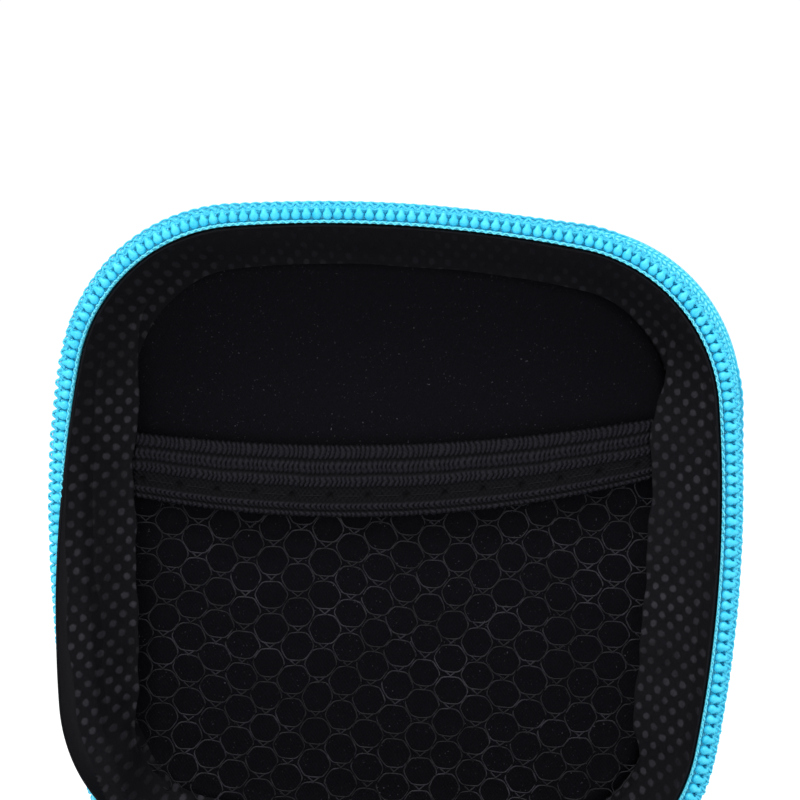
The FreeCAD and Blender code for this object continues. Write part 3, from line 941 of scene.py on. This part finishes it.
def needle_holes(u, v):
    """Small dimples where the net's seam passes through the plain band."""
    near_u = (u - HOLE_START_X + HOLE_PITCH / 2) % HOLE_PITCH - HOLE_PITCH / 2
    return np.exp(-(near_u / 0.30) ** 2 - ((v - HOLE_SHARE) / 0.04) ** 2)


def elastic():
    """The elastic along the pocket's mouth, with its sag and its knit as real relief."""
    u = np.linspace(ELASTIC_LEFT_X, ELASTIC_RIGHT_X, 1500)
    u, v = np.meshgrid(u, np.linspace(0, 1, 110), indexing="ij")
    wave = 0.05 * np.sin(u / 1.9) + 0.04 * np.sin(u / 0.83 + 1)
    y = mouth_line(u, v) + wave * (1 - 2 * np.abs(v - 0.5))
    y = y + 0.07 * np.sin(u * tau / 0.78) * (np.exp(-v / 0.03) - np.exp((v - 1) / 0.03))
    ends = smooth((u - ELASTIC_LEFT_X) / 3.0) * smooth((ELASTIC_RIGHT_X - u) / 3.0)
    uneven = 0.10 * np.sin(u * 1.7 + 9 * v) + 0.08 * np.sin(u * 0.9 - 14 * v)
    relief = elastic_height(u + uneven, v) - 0.6 * needle_holes(u, v)
    relief = relief * (1 + 0.10 * rng.standard_normal(relief.shape))
    from_edge = np.minimum(v, 1 - v) / 0.035
    z = 6.6 + 0.5 * ends + 0.46 * relief - 0.5 * np.clip(1 - from_edge, 0, 1) ** 2
    front = np.stack([u, y, z], -1)
    back = np.stack([u, y, 6.5 + 0.45 * ends], -1)
    section = np.concatenate([front, back[:, ::-10]], 1)
    # The second texture coordinate carries the relief's height, which the yarn's material turns into painted
    # shade in the hollows.
    uv = np.stack([section[..., 0], np.concatenate([relief, relief[:, ::-10]], 1)], -1)
    piece = strip("pocket_elastic_knit", to_lid(section), uv, closed_section=True)
    cap_ends(piece, *section.shape[:2])
    face_outwards(piece)
    return place(paint(piece, "elastic"), "lid", "elastic", ["pocket_elastic"])


def seam_in_elastic():
    """The seam that holds the net: stitches that lie in the plain band and dive into each needle hole."""
    starts = np.arange(HOLE_START_X, ELASTIC_RIGHT_X - 6, HOLE_PITCH)
    t = np.linspace(0, 1, 12)
    u = starts[:, None] + 0.35 + 3.7 * t
    z = np.broadcast_to(7.20 - 0.35 * np.abs(2 * t - 1) ** 6, u.shape)
    lines = np.stack([u, mouth_line(u, HOLE_SHARE), z], -1)
    piece = tubes("pocket_seam_thread", to_lid(lines), 0.075 * MM, sides=6)
    return place(paint(piece, "black_thread"), "lid", "black_thread", ["pocket_stitching"])


NET_COLUMN = 3.05
NET_PITCH = 3.9
NET_THREAD = 0.072
MESH_HALF_HEIGHT = 1.62


def mesh_loop():
    """One net mesh: a flat-topped hexagon with its corners rounded off."""
    side = np.array([(2.02, 0), (1.05, MESH_HALF_HEIGHT), (-1.05, MESH_HALF_HEIGHT)])
    points = np.concatenate([side, -side])
    for share in (0.17, 0.25):
        ahead = np.roll(points, -1, 0)
        first = points + share * (ahead - points)
        second = ahead + share * (points - ahead)
        points = np.stack([first, second], 1).reshape(-1, 2)
    return points


def stretched(x, y):
    """The slight unevenness of a stretched net, as an offset that neighbours share."""
    dx = 0.16 * np.sin(x / 5.1 + y / 3.7) + 0.10 * np.sin(y / 2.3 - x / 7.0 + 2)
    dy = 0.17 * np.sin(x / 4.3 - y / 6.1 + 1) + 0.12 * np.sin(x / 2.9 + 0.5)
    return dx, dy


def net():
    """Stretch net made of its own threads: rounded meshes tied together along their level edges."""
    jitter = np.random.default_rng(11)
    shape = mesh_loop()
    across = np.linspace(0, 1, 6)
    loops, ties = [], []
    for i in range(-12, 13):
        for j in range(-3, 9):
            centre = np.array([i * NET_COLUMN + 1.5, (j + 0.5 * (i % 2)) * NET_PITCH + 0.6])
            loop = centre + shape * (1 + jitter.normal(0, 0.025, 2)) + jitter.normal(0, 0.04, 2)
            loops.append(np.column_stack([loop, NET_Z + 0.10 * np.sin(np.arange(len(loop)) * 1.57 + i)]))
            for side in (-1, 1):
                tie_x = centre[0] + side * (0.62 - 0.75 * across)
                tie_y = centre[1] + MESH_HALF_HEIGHT + (NET_PITCH - 2 * MESH_HALF_HEIGHT) * across
                ties.append(np.column_stack([tie_x, tie_y, np.full(6, NET_Z + 0.05 * side)]))
    for name, lines, closed, replaced in (("pocket_net_threads", loops, True, ["pocket_net"]),
                                          ("pocket_net_ties", ties, False, [])):
        lines = np.array(lines)
        dx, dy = stretched(lines[..., 0], lines[..., 1])
        lines = clip_to_pocket(lines + np.stack([dx, dy, 0 * dx], -1))
        swell = 1 + 0.35 * np.abs(np.sin(lines[..., 0] * 2.1 + lines[..., 1] * 1.3)) ** 3
        piece = tubes(name, to_lid(lines), NET_THREAD * swell * MM, sides=6, closed=closed)
        place(paint(piece, "net_thread"), "lid", "net", replaced)


def clip_to_pocket(lines):
    """Keeps the meshes inside the pocket and pulls those at its edges onto the edge."""
    kept = []
    for line in lines:
        middle = line.mean(0)
        under_elastic = middle[1] < mouth_line(middle[0], 0.9) - 1.0
        if under_elastic or pocket_depth(middle[0], middle[1]) < -0.6:
            continue
        depth = pocket_depth(line[:, 0], line[:, 1])
        over = np.minimum(depth, 0)
        nx, ny = nearest_rim(line[:, 0], line[:, 1])[2:]
        lift = 0.25 * np.clip(-depth, 0, 1.5)
        kept.append(line + np.stack([over * nx, over * ny, lift], -1))
    return np.array(kept)


RIM_SAMPLES = np.linspace(0, PERIMETER, 1441)[:-1]


def nearest_rim(x, y):
    """The nearest rim point to each given point, in the pocket's own centring."""
    rx, ry, nx, ny = rim(RIM_SAMPLES)
    gap = (np.asarray(x)[..., None] - POCKET_SHIFT_X - rx) ** 2 + (np.asarray(y)[..., None] - ry) ** 2
    k = gap.argmin(-1)
    return rx[k], ry[k], nx[k], ny[k]


def pocket_depth(x, y):
    """How far inside the net's sewn edge a point lies."""
    rx, ry, nx, ny = nearest_rim(x, y)
    return (rx - x + POCKET_SHIFT_X) * nx + (ry - y) * ny - NET_INSET


# ---- fabric hinge ----
FOLD_REACH = 3.5
FLAP = 5.0


def folded(offset, along):
    """A point of the open hinge's cloth: offset outside the hinge line, along it from base to lid."""
    over = np.maximum(np.abs(along) - FOLD_REACH, 0)
    offset = offset - over * tan(OUTER_DRAFT)
    angle = -pi / 2 * smooth((along + FOLD_REACH) / (2 * FOLD_REACH))
    y = offset * np.cos(angle) - along * np.sin(angle)
    z = offset * np.sin(angle) + along * np.cos(angle)
    return np.stack([HINGE_Y + y, MID_Z + z], -1)


def rounded_off(distance, radius, least):
    """The share of full thickness at a distance from a rounded edge."""
    share = np.clip(distance / radius, 0, 1)
    return np.sqrt(np.clip(1 - (1 - share) ** 2, least, 1))


def hinge_cloth(name, inner, outer, reach, material, replaced):
    """A cloth strip round the hinge with rounded selvedges, folded round the open hinge."""
    across = np.linspace(-reach, reach, 61)
    x = np.linspace(-HINGE_HALF_LENGTH, HINGE_HALF_LENGTH, 49)[:, None]
    thick = (outer - inner) / 2 * rounded_off(HINGE_HALF_LENGTH - np.abs(x), 0.5, 0.02)
    taper = rounded_off(reach - np.abs(across), 0.4, 0.05)
    pucker = 0.04 * np.sin(x * tau / 2.4) * (1 - taper * 0.2)
    sides = []
    for sign in (1, -1):
        offset = (inner + outer) / 2 + sign * thick * taper + pucker
        yz = folded(offset, across + 0 * offset)
        sides.append(np.concatenate([x[..., None] + 0 * yz[..., :1], yz], -1))
    section = np.concatenate([sides[0], sides[1][:, ::-1]], 1)
    along = np.concatenate([across, across[::-1]])
    uv = np.stack(np.broadcast_arrays(along, x), -1)
    piece = strip(name, section * MM, uv, closed_section=True)
    cap_ends(piece, *section.shape[:2])
    face_outwards(piece)
    paint(piece, material)
    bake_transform(piece)
    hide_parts(replaced)
    return piece


def hinge_stitches(body):
    """Two short seams that hold the outside hinge cloth to one half."""
    sign = {"base": -1, "lid": 1}[body]
    t = np.linspace(0, 1, 7)
    offset = 0.17 - 0.2 * np.abs(2 * t - 1) ** 4
    lines = []
    for drop in (FLAP - 1.2, FLAP - 2.4):
        yz = folded(offset, np.full(7, sign * (FOLD_REACH + drop)))
        for start in np.arange(-HINGE_HALF_LENGTH + 1.0, HINGE_HALF_LENGTH - 2.2, 2.1):
            lines.append(np.column_stack([start + 1.45 * t, yz]))
    piece = tubes(body + "_hinge_stitches", np.array(lines) * MM, 0.15 * MM)
    return place(paint(piece, "cyan_thread"), body, "thread", [body + "_hinge_seam"])


# ---- joined end of the zipper, slider and pull ----
SLIDER_X = -17.5


def on_zipper(points):
    """From slider axes (x along the zipper, y outwards, z across) to the half-open back of the case."""
    p = np.asarray(points, float)
    turn = asin(-SLIDER_X / SIDE_RADIUS)
    x = p[..., 0] * cos(turn) - p[..., 1] * sin(turn) + SLIDER_X
    y = p[..., 0] * sin(turn) + p[..., 1] * cos(turn)
    y = y + sqrt(SIDE_RADIUS ** 2 - SLIDER_X ** 2) - SIDE_CENTRE - HINGE_Y
    z = p[..., 2]
    share = sqrt(0.5)
    return np.stack([x, HINGE_Y + share * (y + z), MID_Z + share * (z - y)], -1) * MM


def joined_coil():
    """The two coils meshed together behind the slider."""
    first, last = CHAIN_FRONT_X - SLIDER_X, CHAIN_END_X - SLIDER_X
    margin = 0.3
    turns = int((last - first - 2 * margin) / TOOTH_PITCH)
    theta = np.arange(turns * TURN_STEPS + 1) * tau / TURN_STEPS
    lines = []
    for side, phase in ((1, 0.0), (-1, 0.25)):
        x = first + margin + TOOTH_PITCH * (theta / tau + phase)
        y = -1.1 + COIL_REACH * np.sin(theta)
        lines.append(np.column_stack([x, y, side * (0.95 - 0.72 * np.cos(theta))]))
    lines = on_zipper(np.array(lines))
    along_x = np.broadcast_to([1.0, 0, 0], lines.shape)
    piece = tubes("joined_coil", lines, 0.34 * MM, sides=9, reference=along_x)
    return place(paint(piece, "coil"), "zipper_chain", "coil", ["zipper_chain_end"])


def rounded_copy(node, width, material, slot, body):
    """A copy of a CAD part with its sharp edges rounded."""
    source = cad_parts[node]
    mesh = source.data.copy()
    mesh.transform(source.matrix_world)
    piece = new_object(node + "_rounded", mesh)
    with editing(mesh) as bm:
        bmesh.ops.remove_doubles(bm, verts=bm.verts, dist=0.001 * MM)
        bmesh.ops.dissolve_limit(bm, angle_limit=radians(1), verts=bm.verts, edges=bm.edges)
    bevel = piece.modifiers.new("edges", "BEVEL")
    bevel.width = width * MM
    bevel.segments = 3
    bevel.limit_method = "ANGLE"
    bevel.angle_limit = radians(35)
    apply_modifiers(piece)
    piece.data.polygons.foreach_set("use_smooth", [True] * len(piece.data.polygons))
    return place(paint(piece, material), body, slot, [node])


# ---- camera, light and floor ----
def camera():
    """At the right of the standing lid and a little above it, looking in."""
    distance = 450.0
    azimuth = radians(4.0)
    elevation = radians(6.96)
    roll = radians(3.59)
    rim_y = 40.65
    aim_offset = Vector((0.47, 0, 18.01))
    lid_centre = Vector((0, rim_y, MID_Z + HINGE_Y))
    direction = Vector((sin(azimuth) * cos(elevation),
                        -cos(azimuth) * cos(elevation), sin(elevation)))
    location = lid_centre + distance * direction
    back = (location - lid_centre - aim_offset).normalized()
    right = Vector((0, 0, 1)).cross(back).normalized()
    up = back.cross(right)
    turned_right = cos(roll) * right + sin(roll) * up
    turned_up = cos(roll) * up - sin(roll) * right
    data = bpy.data.cameras.new("camera")
    data.sensor_width = 36
    data.lens = 179.0
    data.clip_start = 0.01
    data.clip_end = 30
    piece = new_object("camera", data)
    rotation = Matrix((turned_right, turned_up, back)).transposed()
    piece.matrix_world = Matrix.Translation(location * MM) @ rotation.to_4x4()
    scene.camera = piece


def key_light():
    """A soft square light above the case, a little in front and to the left."""
    data = bpy.data.lights.new("key", "AREA")
    data.shape = "RECTANGLE"
    data.size = data.size_y = 0.35
    data.energy = 3.0
    piece = new_object("key", data)
    piece.location = (-0.25, -0.35, 0.75)
    aim = Vector((0, 0.03, 0.06))
    piece.rotation_euler = (aim - piece.location).to_track_quat("-Z", "Y").to_euler()


def stage():
    """A wide pale floor, soft light from above and an even white surround."""
    reach = 9
    corners = [(-reach, -reach, 0), (reach, -reach, 0), (reach, reach, 0), (-reach, reach, 0)]
    floor = new_mesh("floor", corners, [(0, 1, 2, 3)])
    floor.location.z = -0.0002
    floor.data.materials.append(plain_stage())
    world = bpy.data.worlds.new("surround")
    scene.world = world
    world.use_nodes = True
    background = world.node_tree.nodes["Background"]
    background.inputs["Color"].default_value = (1, 1, 1, 1)
    background.inputs["Strength"].default_value = 1.12
    key_light()
    scene.view_settings.view_transform = "Standard"
    scene.view_settings.look = "None"


camera()
stage()
covers, linings = {}, {}
for half in ("base", "lid"):
    covers[half] = outer_cover(half)
    foam_shell(half)
    linings[half] = lining(half)
    zipper_tape(half)
    zipper_coil(half)
    rim_stitches(half)
    coil_threads(half)
    edge_scallops(half)
    tape_edge_thread(half)
    hinge_stitches(half)
    rounded_copy(half + "_zipper_stop", 0.25, "coil", "coil", half)
outer_hinge = hinge_cloth("hinge_outer_cloth", -0.42, 0.15, FOLD_REACH + FLAP, "tape", "hinge_strip_outer")
hinge_cloth("hinge_inner_cloth", -1.1, -0.52, FOLD_REACH - 0.1, "lining", "hinge_strip_lining")
joined_coil()
for part, rounding, rides in (("zipper_chain_stop", 0.15, "zipper_chain"), ("slider_body", 0.18, "slider"),
                              ("slider_bridge", 0.2, "slider"), ("pull_tab", 0.16, "pull")):
    rounded_copy(part, rounding, "slider", "slider_metal", rides)
back_cloth = panel()
folds = [side_fold("pocket_fold_right", 1.0 * QUARTER, 36.0, 6.6),
         side_fold("pocket_fold_left", 3.0 * QUARTER, 36.0, 4.7)]
elastic()
seam_in_elastic()
net()

paint(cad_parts["pocket_board"], "foam")
